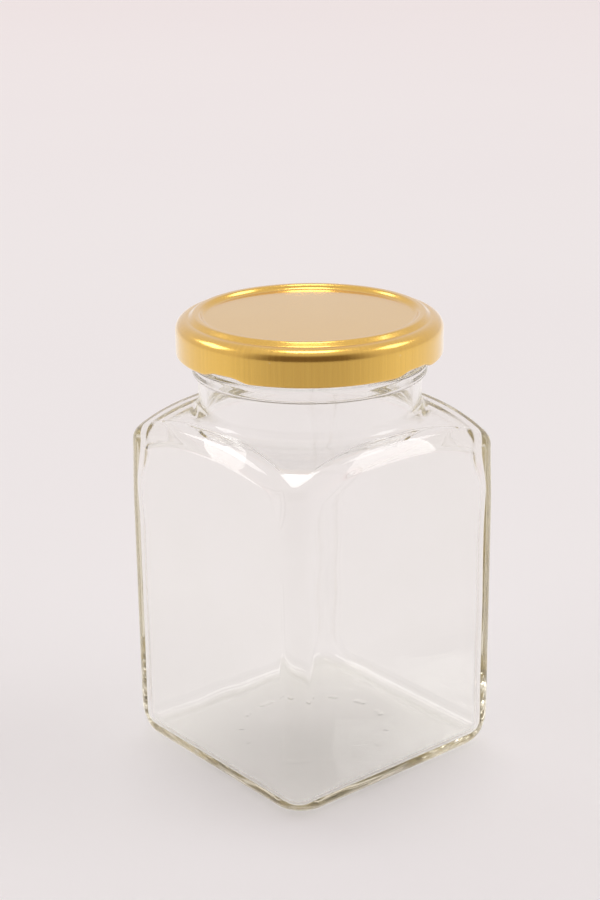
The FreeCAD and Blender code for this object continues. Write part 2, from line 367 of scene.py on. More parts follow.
@dataclass(frozen=True)
class ClearGlass:
    """Soda-lime container glass with a faint olive tint in its thickness."""

    ior: float = 1.52
    tint: Colour = (0.62, 0.52, 0.10, 1.0)
    density: float = 6.5
    smudged: Colour = (0.99, 0.992, 0.985, 1.0)
    smudge: float = 0.012
    ripple: float = 0.00002
    clear: Colour = (0.985, 0.985, 0.98, 1.0)

    def build(self, effects: Effects) -> Material:
        """Make the material.

        Args:
            effects: The shared node groups.

        Returns:
            The material.
        """
        material, sheet = new_material("clear_glass")
        smudges = masked(sheet, effects.patches, scale=38.0, detail=3.0)
        ripples = masked(sheet, effects.patches, scale=70.0, detail=1.0)
        seeds = masked(sheet, effects.specks, scale=160.0, size=0.035)
        height = sheet.sum("MULTIPLY_ADD", seeds, 0.6, ripples)
        normal = sheet.relief(height, self.ripple)
        shader = sheet.add(
            "BsdfPrincipled",
            {
                "Base Color": sheet.tone(smudges, WHITE, self.smudged),
                "Roughness": sheet.scaled(smudges, (0.4, 1.0), (0.0, self.smudge)),
                "IOR": self.ior,
                "Transmission Weight": 1.0,
                "Normal": normal,
            },
        )
        clear = sheet.add("BsdfTransparent", {"Color": self.clear})
        shadow = sheet.add("LightPath").outputs["Is Shadow Ray"]
        through = sheet.add("MixShader", {0: shadow, 1: shader.outputs[0], 2: clear.outputs[0]})
        depth = sheet.add("VolumeAbsorption", {"Color": self.tint, "Density": self.density})
        sheet.add("OutputMaterial", {"Surface": through.outputs[0], "Volume": depth.outputs[0]})
        return material


@dataclass(frozen=True)
class GoldTinplate:
    """Rolled tinplate under a clear gold lacquer."""

    gold: Colour = (0.84, 0.54, 0.118, 1.0)
    deep_gold: Colour = (0.77, 0.475, 0.096, 1.0)
    dust: Colour = (0.85, 0.8, 0.7, 1.0)
    dust_share: float = 0.25
    broad_share: float = 0.15
    fine_share: float = 0.85
    wear_share: float = 0.05
    roughness: Range = (0.16, 0.22)
    grain_depth: float = 0.000005
    panel_edge: float = 0.0305

    def build(self, effects: Effects) -> Material:
        """Make the material.

        Args:
            effects: The shared node groups.

        Returns:
            The material.
        """
        material, sheet = new_material("gold_tinplate")
        edge = self.panel_edge
        grain = effects.grain
        fine = masked(sheet, grain, fineness=130.0, run=40.0, mottling=2400.0, radius=edge)
        broad = masked(sheet, grain, fineness=45.0, run=25.0, mottling=700.0, radius=edge)
        fine_part = sheet.sum("MULTIPLY", fine, self.fine_share)
        lines = sheet.sum("MULTIPLY_ADD", broad, self.broad_share, fine_part)
        wear = masked(sheet, effects.patches, scale=55.0, detail=4.0)
        dust = masked(sheet, effects.specks, scale=260.0, size=0.05)
        colour = sheet.tone(sheet.scaled(lines, (0.3, 0.7)), self.deep_gold, self.gold)
        dusty = sheet.tone(sheet.sum("MULTIPLY", dust, self.dust_share), colour, self.dust)
        even = sheet.scaled(lines, (0.2, 0.8), self.roughness)
        rough = sheet.sum("MULTIPLY_ADD", wear, self.wear_share, even)
        normal = sheet.relief(lines, self.grain_depth)
        shader = sheet.add(
            "BsdfPrincipled",
            {
                "Base Color": dusty,
                "Metallic": 1.0,
                "Roughness": rough,
                "Coat Weight": 1.0,
                "Coat Roughness": 0.08,
                "Coat IOR": 1.38,
                "Normal": normal,
            },
        )
        sheet.add("OutputMaterial", {"Surface": shader.outputs[0]})
        return material


@dataclass(frozen=True)
class PatchyCoat:
    """An opaque coat with soft patches in its colour and sheen, and pits where it has any."""

    name: str
    colour: Colour
    stained: Colour
    roughness: Range
    scale: float
    detail: float
    pitting: float = 0.0

    def build(self, effects: Effects) -> Material:
        """Make the material.

        Args:
            effects: The shared node groups.

        Returns:
            The material.
        """
        material, sheet = new_material(self.name)
        patches = masked(sheet, effects.patches, scale=self.scale, detail=self.detail)
        look = {
            "Base Color": sheet.tone(patches, self.colour, self.stained),
            "Roughness": sheet.scaled(patches, WHOLE, self.roughness),
        }
        if self.pitting:
            look["Normal"] = sheet.relief(patches, self.pitting)
        shader = sheet.add("BsdfPrincipled", look)
        sheet.add("OutputMaterial", {"Surface": shader.outputs[0]})
        return material


INNER_ENAMEL = PatchyCoat(
    "inner_enamel", (0.62, 0.6, 0.56, 1.0), (0.5, 0.47, 0.42, 1.0), (0.28, 0.4), 90.0, 3.0
)
SEALING_COMPOUND = PatchyCoat(
    "sealing_compound",
    (0.6, 0.56, 0.48, 1.0),
    (0.5, 0.46, 0.39, 1.0),
    (0.5, 0.65),
    400.0,
    4.0,
    pitting=0.00004,
)


@dataclass(frozen=True)
class PalePaper:
    """The seamless pale surface the jar stands on."""

    colour: Colour = (0.885, 0.875, 0.88, 1.0)
    shaded: Colour = (0.875, 0.86, 0.87, 1.0)
    # The next colour and range are painted light: the floor's colour turns lighter and pinker away
    # from the jar to make up for the lamps' light falling off.
    painted_light_far: Colour = (0.92, 0.87, 0.875, 1.0)
    painted_light_span: Range = (0.3, 2.2)
    # The next two colours and range are a painted reflection: in reflections the floor glows with
    # them, darker on the camera's side as painted shade.
    painted_reflection_bright: Colour = (1.0, 0.96, 0.94, 1.0)
    painted_reflection_shaded: Colour = (0.66, 0.62, 0.6, 1.0)
    front: Range = (0.25, 0.95)

    def build(self, effects: Effects, facing: float) -> Material:
        """Make the material.

        Args:
            effects: The shared node groups.
            facing: Azimuth of the camera's side, where the floor's painted reflection gets painted
                shade.

        Returns:
            The material.
        """
        material, sheet = new_material("pale_paper")
        patches = masked(sheet, effects.patches, scale=3.0, detail=2.0)
        near = sheet.tone(patches, self.colour, self.shaded)
        axes = sheet.add("SeparateXYZ", {0: sheet.place()}).outputs
        away = sheet.distance(axes)
        # Painted light: the floor's colour changes with distance from the jar, standing in for even
        # lighting far away.
        shader = sheet.add(
            "BsdfPrincipled",
            {
                "Base Color": sheet.tone(sheet.scaled(away, self.painted_light_span), near, self.painted_light_far),
                "Roughness": 0.9,
                "Specular IOR Level": 0.1,
            },
        )
        # Painted reflection: glossy rays see the floor glow with an even pale colour, with painted
        # shade towards the camera's side.
        along_x = sheet.sum("MULTIPLY", axes[0], math.cos(facing))
        along_facing = sheet.sum("MULTIPLY_ADD", axes[1], math.sin(facing), along_x)
        front = sheet.scaled(sheet.sum("DIVIDE", along_facing, away), self.front)
        painted_reflection_tone = sheet.tone(front, self.painted_reflection_bright, self.painted_reflection_shaded)
        painted_reflection_glow = sheet.add("Emission", {"Color": painted_reflection_tone})
        ray = sheet.add("LightPath").outputs
        in_mirror = sheet.sum("SUBTRACT", ray["Is Glossy Ray"], ray["Is Transmission Ray"])
        in_mirror = sheet.sum("MAXIMUM", in_mirror, 0.0)
        shown = sheet.add("MixShader", {0: in_mirror, 1: shader.outputs[0], 2: painted_reflection_glow.outputs[0]})
        sheet.add("OutputMaterial", {"Surface": shown.outputs[0]})
        return material


# Shapes


@dataclass(frozen=True)
class SquarePlan:
    """How the points of every ring are shared between four flats and four corners."""

    flat_points: int = 48
    corner_points: int = 32
    easing: float = 0.6

    @property
    def count(self) -> int:
        """Points in one ring."""
        return 4 * (self.flat_points + self.corner_points)

    def station(self, index: int) -> tuple[int, float, float]:
        """Where a point of a ring lies.

        Args:
            index: The point's number, from the middle of the +X flat.

        Returns:
            Its side, its share of the flat and its angle round the corner.
        """
        side, step = divmod(index + self.flat_points // 2, self.flat_points + self.corner_points)
        if step >= self.flat_points:
            return side, 1.0, QUARTER * (step - self.flat_points) / self.corner_points
        share = step / self.flat_points
        return side, blend(share, (1 - math.cos(math.pi * share)) / 2, self.easing), 0.0

    def normals(self) -> Ring:
        """Outward directions of a rounded square's points, each of length 1."""
        turns = [side * QUARTER + turn for side, _, turn in map(self.station, range(self.count))]
        return [Vector((math.cos(turn), math.sin(turn), 0.0)) for turn in turns]

    def outline(
        self, half: float, radius: float | Sequence[float], height: float | Sequence[float] = 0.0
    ) -> Ring:
        """Points of a rounded square.

        Args:
            half: Half of its side, across the flats.
            radius: Its corner radius, or one for every point.
            height: Its height, or one for every point.

        Returns:
            The points.
        """
        made = []
        for index in range(self.count):
            side, share, turn = self.station(index)
            rounding = radius if isinstance(radius, float) else radius[index]
            flat = half - rounding
            if share < 1.0 or turn == 0.0:
                point = Vector((half, flat * (2 * share - 1), 0.0))
            else:
                across, ahead = rounding * math.cos(turn), rounding * math.sin(turn)
                point = Vector((flat + across, flat + ahead, 0.0))
            point.rotate(Euler((0.0, 0.0, side * QUARTER)))
            point.z = height if isinstance(height, float) else height[index]
            made.append(point)
        return made

    def azimuth(self, index: int) -> float:
        """Angle round the axis at which a point of a round ring lies."""
        return FULL_TURN * index / self.count

    def circle(self, radius: float, height: float) -> Ring:
        """Points of a round ring at a height."""
        turns = map(self.azimuth, range(self.count))
        return [Vector((radius * math.cos(a), radius * math.sin(a), height)) for a in turns]


@dataclass(frozen=True)
class Dome:
    """A shallow dome about the axis: an arc of the half plane, up to the root of a neck."""

    low: Range
    high: Range
    radius: float
    root: float

    @property
    def centre(self) -> Range:
        """Centre of the arc.

        Returns:
            Its distance from the axis and its height.
        """
        low, high = Vector(self.low), Vector(self.high)
        chord = high - low
        rise = math.sqrt(self.radius**2 - (chord.length / 2) ** 2)
        centre = (low + high) / 2 + Vector((-chord.y, chord.x)).normalized() * rise
        return centre.x, centre.y

    def height(self, out: float, inset: float = 0.0) -> float:
        """Height of the surface that lies inset below the dome, at a place."""
        across, up = self.centre
        return up + math.sqrt((self.radius - inset) ** 2 - (out - across) ** 2)

    def normal(self, place: Vector, inset: float = 0.0) -> Vector:
        """The dome's outward direction.

        Args:
            place: A point on the surface that lies inset below the dome.
            inset: How far below.

        Returns:
            The direction, of length 1.
        """
        across, up = self.centre
        out = math.hypot(place.x, place.y)
        level = (out - across) / (self.radius - inset)
        rise = (place.z - up) / (self.radius - inset)
        return Vector((place.x / out * level, place.y / out * level, rise))

    def contact(self) -> float:
        """Distance from the axis at which the rounding of the neck's root meets the dome."""
        across, reach = self.centre[0], self.high[0] + self.root
        return across + (reach - across) * self.radius / (self.radius + self.root)

    def root_profile(self, steps: int) -> list[Range]:
        """The rounding between the dome and its neck.

        Args:
            steps: Steps across it.

        Returns:
            Points of (distance from the axis, height), from the dome up.
        """
        across, up = self.centre
        reach = self.high[0] + self.root
        centre = Vector((reach, self.height(reach, -self.root)))
        first = math.atan2(up - centre.y, across - centre.x)
        points = []
        for step in range(1, steps + 1):
            angle = blend(first, -math.pi, step / steps)
            across, up = self.root * math.cos(angle), self.root * math.sin(angle)
            points.append((centre.x + across, centre.y + up))
        return points


class RingLoft:
    """A skin grown ring by ring: each ring is the last one extruded and moved into place."""

    def __init__(self, points: Sequence[Vector]) -> None:
        """Start from a first ring.

        Args:
            points: Where its points lie.
        """
        self.mesh = bmesh.new()
        self.around = self.mesh.verts.layers.int.new("around")
        self.first = bmesh.ops.create_circle(self.mesh, segments=len(points), radius=1.0)["verts"]
        for index, (vert, point) in enumerate(zip(self.first, points)):
            vert[self.around] = index
            vert.co = point
        self.verts = list(self.first)
        self.edges = list(self.mesh.edges)

    def grow(self, points: Sequence[Vector]) -> None:
        """Extrude the last ring to a new one.

        Args:
            points: Where the new ring's points lie.
        """
        made = bmesh.ops.extrude_edge_only(self.mesh, edges=self.edges)["geom"]
        fresh = {item for item in made if isinstance(item, bmesh.types.BMVert)}
        for vert in fresh:
            vert.co = points[vert[self.around]]
        self.verts = list(fresh)
        edges = [item for item in made if isinstance(item, bmesh.types.BMEdge)]
        self.edges = [edge for edge in edges if fresh.issuperset(edge.verts)]

    def close(self, first_pole: Vector, last_pole: Vector) -> None:
        """Draw the first and last rings together to one point each.

        Args:
            first_pole: Where the first ring ends up.
            last_pole: Where the last ring ends up.
        """
        bmesh.ops.pointmerge(self.mesh, verts=self.verts, merge_co=last_pole)
        first = [vert for vert in self.first if vert.is_valid]
        bmesh.ops.pointmerge(self.mesh, verts=first, merge_co=first_pole)
        bmesh.ops.recalc_face_normals(self.mesh, faces=self.mesh.faces)


def finish_piece(
    name: str, mesh: bmesh.types.BMesh, materials: Sequence[Material]
) -> bpy.types.Object:
    """Make a smooth object of a bmesh.

    Args:
        name: The object's name.
        mesh: The bmesh, which is freed.
        materials: The object's materials in slot order.

    Returns:
        The object, at the origin and linked to the scene.
    """
    for face in mesh.faces:
        face.smooth = True
    data = bpy.data.meshes.new(name)
    mesh.to_mesh(data)
    mesh.free()
    for material in materials:
        data.materials.append(material)
    piece = bpy.data.objects.new(name, data)
    bpy.context.scene.collection.objects.link(piece)
    return piece


@dataclass(frozen=True)
class PlainDashes:
    """A ring of generic short dashes pressed down from the dish under the jar."""

    count: int = 14
    inner_edge: Range = (17.4 * MM, 18.0 * MM)
    outer_edge: Range = (19.6 * MM, 19.0 * MM)
    start: Range = (0.18, 0.24)
    end: Range = (0.62, 0.56)
    depth: float = 0.07 * MM

    def sink(self, point: Vector) -> Vector:
        """How far the dashes move a point of the dish.

        Args:
            point: The point.

        Returns:
            The move, straight down.
        """
        out = math.hypot(point.x, point.y)
        share = math.atan2(point.y, point.x) / FULL_TURN * self.count % 1.0
        inside = smooth_step(*self.inner_edge, out) * smooth_step(*self.outer_edge, out)
        lit = smooth_step(*self.start, share) * smooth_step(*self.end, share)
        return Vector((0.0, 0.0, -self.depth * inside * lit))


@dataclass
class JarGlass:
    """The glass jar: square body, domed shoulder, neck, bead, threaded finish and hollow."""

    top: float
    thread_base: float
    plan: SquarePlan = field(default_factory=SquarePlan)
    dashes: PlainDashes = field(default_factory=PlainDashes)
    half_side: float = 33.5 * MM
    corner: float = 4.6 * MM
    heel_corner: float = 9.0 * MM
    heel_corner_fades: float = 8.0 * MM
    shoulder_corner: float = 5.6 * MM
    shoulder_corner_grows: Range = (66.0 * MM, 82.0 * MM)
    heel: float = 4.2 * MM
    wall: float = 2.2 * MM
    floor_height: float = 2.9 * MM
    floor_rounding: float = 2.6 * MM
    pushup_radius: float = 25.0 * MM
    pushup_depth: float = 1.5 * MM
    shoulder_height: float = 90.8 * MM
    shoulder_drop: float = 8.8 * MM
    shoulder_arc: float = 34.0 * MM
    shoulder_edge: float = 4.2 * MM
    shoulder_wall: float = 2.4 * MM
    hollow_edge: float = 5.2 * MM
    hollow_corner: float = 7.6 * MM
    neck_radius: float = 27.7 * MM
    bead_base: float = 100.5 * MM
    bead_top: float = 103.7 * MM
    bead_radius: float = 29.2 * MM
    finish_radius: float = 28.8 * MM
    bore_radius: float = 25.7 * MM
    neck_root: float = 3.0 * MM
    rim_rounding: float = 0.8 * MM
    thread_depth: float = 2.2 * MM
    thread_height: float = 2.2 * MM
    thread_half_span: float = math.radians(31.0)
    thread_turn: float = math.radians(11.5)
    thread_rise: float = 0.5 * MM
    collar: float = 3.0 * MM
    waviness: float = 0.16 * MM
    floor_waviness: float = 0.09 * MM
    pole: float = 0.5 * MM
    dish_steps: int = 36
    bearing_steps: int = 5
    arc_steps: int = 10
    edge_steps: int = 12
    wall_steps: int = 30
    hollow_steps: int = 40
    floor_steps: int = 30

    def build(self, glass: Material) -> bpy.types.Object:
        """Model the jar as one closed skin.

        Args:
            glass: The jar's material.

        Returns:
            The jar.
        """
        loft = RingLoft(self.plan.circle(self.pole, self.pushup_depth))
        outside = self.base_rings() + self.outer_rings() + self.neck_rings()
        for ring in outside + self.hollow_rings() + self.floor_rings():
            loft.grow(ring)
        crown = self.floor_height + self.pushup_depth
        loft.close(Vector((0.0, 0.0, self.pushup_depth)), Vector((0.0, 0.0, crown)))
        return finish_piece("jar_glass", loft.mesh, [glass])

    def base_rings(self) -> list[Ring]:
        """The pushed-up dish under the jar with its dashes, and the bearing face.

        Returns:
            The rings, from the axis outwards.
        """
        rings = []
        for step in range(1, self.dish_steps + 1):
            out = self.pushup_radius * step / self.dish_steps
            share = out / self.pushup_radius
            rise = self.pushup_depth * (1 - share * share) ** 2
            rings.append([point + self.dashes.sink(point) for point in self.plan.circle(out, rise)])
        circle = self.plan.circle(self.pushup_radius, 0.0)
        bearing = self.wall_outline(self.half_side - self.heel, 0.0)
        for step in range(1, self.bearing_steps + 1):
            share = step / self.bearing_steps
            rings.append([near.lerp(far, share) for near, far in zip(circle, bearing)])
        return rings

    def corner_at(self, height: float) -> float:
        """Outer corner radius, which grows towards the heel and towards the shoulder.

        Args:
            height: Where on the wall.

        Returns:
            The radius there.
        """
        low = smooth_step(self.heel_corner_fades, 0.0, height)
        high = smooth_step(*self.shoulder_corner_grows, height)
        return blend(blend(self.corner, self.heel_corner, low), self.shoulder_corner, high)

    def wall_outline(self, half: float, height: float) -> Ring:
        """The outer outline at a height, with its faces half away from the axis."""
        corner = self.corner_at(height) - (self.half_side - half)
        return self.plan.outline(half, max(corner, 0.4 * MM), height)

    def dome_over(self, half: float, neck: float, crown: float, root: float) -> Dome:
        """A dome from the corners of a square up to a round neck."""
        foot = (half * 2 * HALF_DIAGONAL, crown - self.shoulder_drop)
        return Dome(foot, (neck, crown), self.shoulder_arc, root)

    def outer_dome(self) -> Dome:
        """The shoulder's dome."""
        crown, root = self.shoulder_height, self.neck_root
        return self.dome_over(self.half_side, self.neck_radius, crown, root)

    def inner_dome(self) -> Dome:
        """The hollow's dome under the shoulder."""
        crown, root = self.shoulder_height - self.shoulder_wall, self.neck_root + self.shoulder_wall
        return self.dome_over(self.half_side - self.wall, self.bore_radius, crown, root)

    def shoulder_rings(self, dome: Dome, half: float, corner: float, ball: float) -> list[Ring]:
        """Rings of the rounded edge between the upright walls and a dome, and of the dome.

        Args:
            dome: The dome.
            half: Distance of the walls from the axis.
            corner: Corner radius of the walls.
            ball: Radius of the rounding.

        Returns:
            The rings, from the wall to the neck.
        """
        centres = self.plan.outline(half - ball, max(corner - ball, 0.3 * MM))
        for centre in centres:
            centre.z = dome.height(math.hypot(centre.x, centre.y), ball)
        rings = []
        for step in range(self.edge_steps + 1):
            ring = []
            for centre, level in zip(centres, self.plan.normals()):
                rising = dome.normal(centre, ball)
                ring.append(centre + level.slerp(rising, step / self.edge_steps) * ball)
            rings.append(ring)
        ends = list(zip(rings[-1], self.plan.circle(dome.contact(), 0.0)))
        for step in range(1, self.arc_steps + 1):
            ring = []
            for near, far in ends:
                flat = Vector((near.x, near.y)).lerp(Vector((far.x, far.y)), step / self.arc_steps)
                ring.append(Vector((flat.x, flat.y, dome.height(flat.length))))
            rings.append(ring)
        return rings

    def outer_rings(self) -> list[Ring]:
        """The heel, the walls and the domed shoulder outside.

        Returns:
            The rings, from the bearing face up.
        """
        rings = []
        for step in range(1, self.arc_steps + 1):
            turn = QUARTER * step / self.arc_steps
            half = self.half_side - self.heel * (1 - math.sin(turn))
            rings.append(self.wall_outline(half, self.heel * (1 - math.cos(turn))))
        corner, ball = self.shoulder_corner, self.shoulder_edge
        shoulder = self.shoulder_rings(self.outer_dome(), self.half_side, corner, ball)
        foot = rings[-1]
        for step in range(1, self.wall_steps):
            share = step / self.wall_steps
            heights = [blend(low.z, high.z, share) for low, high in zip(foot, shoulder[0])]
            corners = [self.corner_at(height) for height in heights]
            rings.append(self.plan.outline(self.half_side, corners, heights))
        return rings + shoulder

    def neck_rings(self) -> list[Ring]:
        """The neck, the bead, the threaded finish, the rim and the upper bore.

        Returns:
            The rings, from the shoulder over the rim and down into the bore.
        """
        profile = self.outer_dome().root_profile(self.arc_steps)
        corners = [
            Corner(*profile[-1]),
            Corner(self.neck_radius, self.bead_base, 0.35 * MM),
            Corner(self.bead_radius, self.bead_base, 0.8 * MM),
            Corner(self.bead_radius, self.bead_top, 0.9 * MM),
            Corner(self.finish_radius - 0.6 * MM, self.bead_top + 0.5 * MM, 0.5 * MM),
            Corner(self.finish_radius, self.bead_top + 2.0 * MM, 0.8 * MM),
            Corner(self.finish_radius, self.top, self.rim_rounding),
            Corner(self.bore_radius, self.top, self.rim_rounding),
            Corner(self.bore_radius, self.top - self.collar),
        ]
        profile += rounded_profile(corners, 6, 0.45 * MM)[1:]
        rings = []
        for out, up in profile:
            ring = self.plan.circle(out, up)
            if self.bead_top < up < self.top - self.rim_rounding and out > self.neck_radius:
                azimuths = map(self.plan.azimuth, range(self.plan.count))
                ring = [self.threaded(point, azimuth) for point, azimuth in zip(ring, azimuths)]
            rings.append(ring)
        return rings

    def threaded(self, point: Vector, azimuth: float) -> Vector:
        """Push a point of the finish outwards where a thread segment crosses it.

        Args:
            point: The point.
            azimuth: Its angle round the axis.

        Returns:
            The point as moved.
        """
        turn = (azimuth - self.thread_turn + QUARTER / 2) % QUARTER - QUARTER / 2
        run = smooth_step(self.thread_half_span, self.thread_half_span * 0.75, abs(turn))
        slope = turn / self.thread_half_span * self.thread_rise
        middle = self.thread_base + self.thread_height / 2 + slope
        profile = smooth_step(self.thread_height / 2, self.thread_height / 6, abs(point.z - middle))
        push = 1 + self.thread_depth * run * profile / math.hypot(point.x, point.y)
        return Vector((point.x * push, point.y * push, point.z))

    def inner_corner_at(self, height: float) -> float:
        """Corner radius of the hollow, which opens out under the shoulder.

        Args:
            height: Where on the wall.

        Returns:
            The radius there.
        """
        stations = (
            (6.0 * MM, 4.4 * MM),
            (20.0 * MM, 4.6 * MM),
            (58.0 * MM, 4.6 * MM),
            (70.0 * MM, 3.6 * MM),
            (81.0 * MM, self.hollow_corner),
        )
        return along(stations, height)

    def wavy(self, point: Vector) -> Vector:
        """Move a point of the hollow's walls in or out a little, as blown glass is."""
        swell = noise.noise(point * 38.0) + 0.5 * noise.noise(point * 90.0)
        return point + Vector((point.x, point.y, 0.0)).normalized() * (self.waviness * swell)

    def hollow_rings(self) -> list[Ring]:
        """The bore below the rim, and the hollow's dome and walls.

        Returns:
            The rings, from the bore down.
        """
        dome = self.inner_dome()
        root = dome.root_profile(self.arc_steps)
        rings = []
        start = self.top - self.collar
        for step in range(1, self.arc_steps + 1):
            height = blend(start, root[-1][1], step / self.arc_steps)
            rings.append(self.plan.circle(self.bore_radius, height))
        rings += [self.plan.circle(out, up) for out, up in reversed(root[:-1])]
        half = self.half_side - self.wall
        shoulder = self.shoulder_rings(dome, half, self.hollow_corner, self.hollow_edge)
        rings += reversed(shoulder)
        foot = self.floor_height + self.floor_rounding
        for step in range(1, self.hollow_steps):
            share = step / self.hollow_steps
            heights = [blend(high.z, foot, share) for high in shoulder[0]]
            corners = [self.inner_corner_at(height) for height in heights]
            ring = self.plan.outline(half, corners, heights)
            fade = smooth_step(0.0, 0.15, share) * smooth_step(1.0, 0.85, share)
            rings.append([point.lerp(self.wavy(point), fade) for point in ring])
        return rings

    def floor_rings(self) -> list[Ring]:
        """The rounding round the hollow's floor, and the floor.

        Returns:
            The rings, from the walls to the axis.
        """
        rings = []
        half = self.half_side - self.wall
        foot = self.floor_height + self.floor_rounding
        corner = self.inner_corner_at(foot)
        for step in range(self.arc_steps + 1):
            turn = QUARTER * step / self.arc_steps
            inset = self.floor_rounding * (1 - math.cos(turn))
            height = foot - self.floor_rounding * math.sin(turn)
            rings.append(self.plan.outline(half - inset, max(corner - inset, 0.5 * MM), height))
        last = rings[-1]
        circle = self.plan.circle(self.pole, self.floor_height)
        for step in range(1, self.floor_steps + 1):
            share = step / self.floor_steps
            ring = [near.lerp(far, share) for near, far in zip(last, circle)]
            for point in ring:
                out = min(1.0, math.hypot(point.x, point.y) / self.pushup_radius)
                point.z += self.pushup_depth * (1 - out * out) ** 2
                swell = smooth_step(0.0, 0.3, share) * noise.noise(point * 60.0)
                point.z += swell * self.floor_waviness
            rings.append(ring)
        return rings


@dataclass
class TwistLid:
    """The pressed lid: raised crest, sunk panel, skirt, curled hem and four lugs."""

    base: float
    crest: float
    radius: float = 33.0 * MM
    tin: float = 0.28 * MM
    curl: float = 0.8 * MM
    ledge_width: float = 3.3 * MM
    crest_rise: float = 1.05 * MM
    crest_slope: float = 1.2 * MM
    crest_width: float = 1.5 * MM
    panel_slope: float = 0.9 * MM
    panel_drop: float = 1.1 * MM
    shoulder: float = 2.9 * MM
    ledge_rounding: float = 0.8 * MM
    crest_rounding: float = 1.0 * MM
    panel_rounding: float = 1.3 * MM
    steps: int = 288
    curl_steps: int = 16
    curl_start: float = 100.0
    lug_turn: float = math.radians(11.5)
    lug_half_span: float = math.radians(13.0)
    lug_reach: float = 1.7 * MM
    lug_lift: float = 1.0 * MM
    lug_fade: Range = (4.0 * MM, 0.4 * MM)

    def profile(self) -> list[Range]:
        """The lid's outer profile.

        Returns:
            Points of (distance from the axis, height), from the end of the curl to the axis.
        """
        middle = self.base + self.curl
        inside = self.radius - self.curl
        points = []
        for step in range(self.curl_steps + 1):
            angle = math.radians(blend(self.curl_start, 360.0, step / self.curl_steps))
            across, up = self.curl * math.cos(angle), self.curl * math.sin(angle)
            points.append((inside + across, middle + up))
        ledge = self.crest - self.crest_rise
        ledge_end = self.radius - self.ledge_width
        crest_outside = ledge_end - self.crest_slope
        crest_inside = crest_outside - self.crest_width
        panel = self.crest - self.panel_drop
        corners = [
            Corner(self.radius, middle),
            Corner(self.radius, ledge, self.shoulder),
            Corner(ledge_end, ledge, self.ledge_rounding),
            Corner(crest_outside, self.crest, self.crest_rounding),
            Corner(crest_inside, self.crest, self.crest_rounding),
            Corner(crest_inside - self.panel_slope, panel, self.panel_rounding),
            Corner(0.0, panel),
        ]
        return points + rounded_profile(corners, 9, 1.2 * MM)[1:]

    def build(self, tinplate: Material, enamel: Material) -> bpy.types.Object:
        """Model the lid as one sheet of tin.

        Args:
            tinplate: The material of its outer face.
            enamel: The material of its inner face.

        Returns:
            The lid.
        """
        mesh = bmesh.new()
        verts = [mesh.verts.new((out, 0.0, up)) for out, up in self.profile()]
        edges = [mesh.edges.new(pair) for pair in zip(verts, verts[1:])]
        bmesh.ops.spin(
            mesh,
            geom=verts + edges,
            axis=(0.0, 0.0, 1.0),
            cent=(0.0, 0.0, 0.0),
            steps=self.steps,
            angle=FULL_TURN,
            use_merge=True,
        )
        bmesh.ops.remove_doubles(mesh, verts=mesh.verts, dist=1e-7)
        bmesh.ops.recalc_face_normals(mesh, faces=mesh.faces)
        top = max(mesh.faces, key=lambda face: face.calc_center_median().z)
        if top.normal.z < 0:
            bmesh.ops.reverse_faces(mesh, faces=mesh.faces)
        for vert in mesh.verts:
            vert.co = self.lugged(vert.co)
        piece = finish_piece("twist_lid", mesh, [tinplate, enamel])
        shell = piece.modifiers.new("tin", "SOLIDIFY")
        shell.thickness = self.tin
        shell.offset = -1.0
        shell.use_even_offset = True
        shell.material_offset = 1
        return piece

    def lugged(self, place: Vector) -> Vector:
        """Lift the hem and draw its curl inwards at the four lugs.

        Args:
            place: A point of the lid before the lugs are pressed.

        Returns:
            The point afterwards.
        """
        azimuth = math.atan2(place.y, place.x)
        turn = (azimuth - self.lug_turn + QUARTER / 2) % QUARTER - QUARTER / 2
        window = smooth_step(self.lug_half_span, self.lug_half_span * 0.3, abs(turn))
        fade_top, fade_foot = self.lug_fade
        low = smooth_step(self.base + fade_top, self.base + fade_foot, place.z)
        moved = place.copy()
        moved.z += self.lug_lift * window * low
        out = math.hypot(place.x, place.y)
        inward = smooth_step(self.radius - 0.2 * MM, self.radius - 2 * self.curl, out)
        over_curl, in_curl = self.base + 2.2 * self.curl, self.base + 1.2 * self.curl
        inward *= smooth_step(over_curl, in_curl, place.z)
        scale = 1 - self.lug_reach * window * inward / max(out, MM)
        moved.x *= scale
        moved.y *= scale
        return moved


# Studio


@dataclass(frozen=True)
class Viewpoint:
    """Where the camera stands and how it looks."""

    place: tuple[float, float, float] = (-0.28133, -0.33721, 0.23047)
    heading: float = math.radians(-39.491)
    pitch: float = math.radians(18.975)
    roll: float = math.radians(-0.686)
    lens: float = 73.86

    def build(self) -> None:
        """Make the camera and hand it to the scene."""
        data = bpy.data.cameras.new("camera")
        data.sensor_width = 36.0
        data.lens = self.lens
        data.clip_start = 0.01
        data.clip_end = 50.0
        camera = bpy.data.objects.new("camera", data)
        turn = Euler((0.0, 0.0, self.heading)).to_matrix()
        turn = turn @ Euler((QUARTER - self.pitch, 0.0, 0.0)).to_matrix()
        turn = turn @ Euler((0.0, 0.0, self.roll)).to_matrix()
        camera.matrix_world = turn.to_4x4()
        camera.location = self.place
        bpy.context.scene.collection.objects.link(camera)
        bpy.context.scene.camera = camera

    @property
    def azimuth(self) -> float:
        """Angle round the object at which the camera stands."""
        return math.atan2(self.place[1], self.place[0])


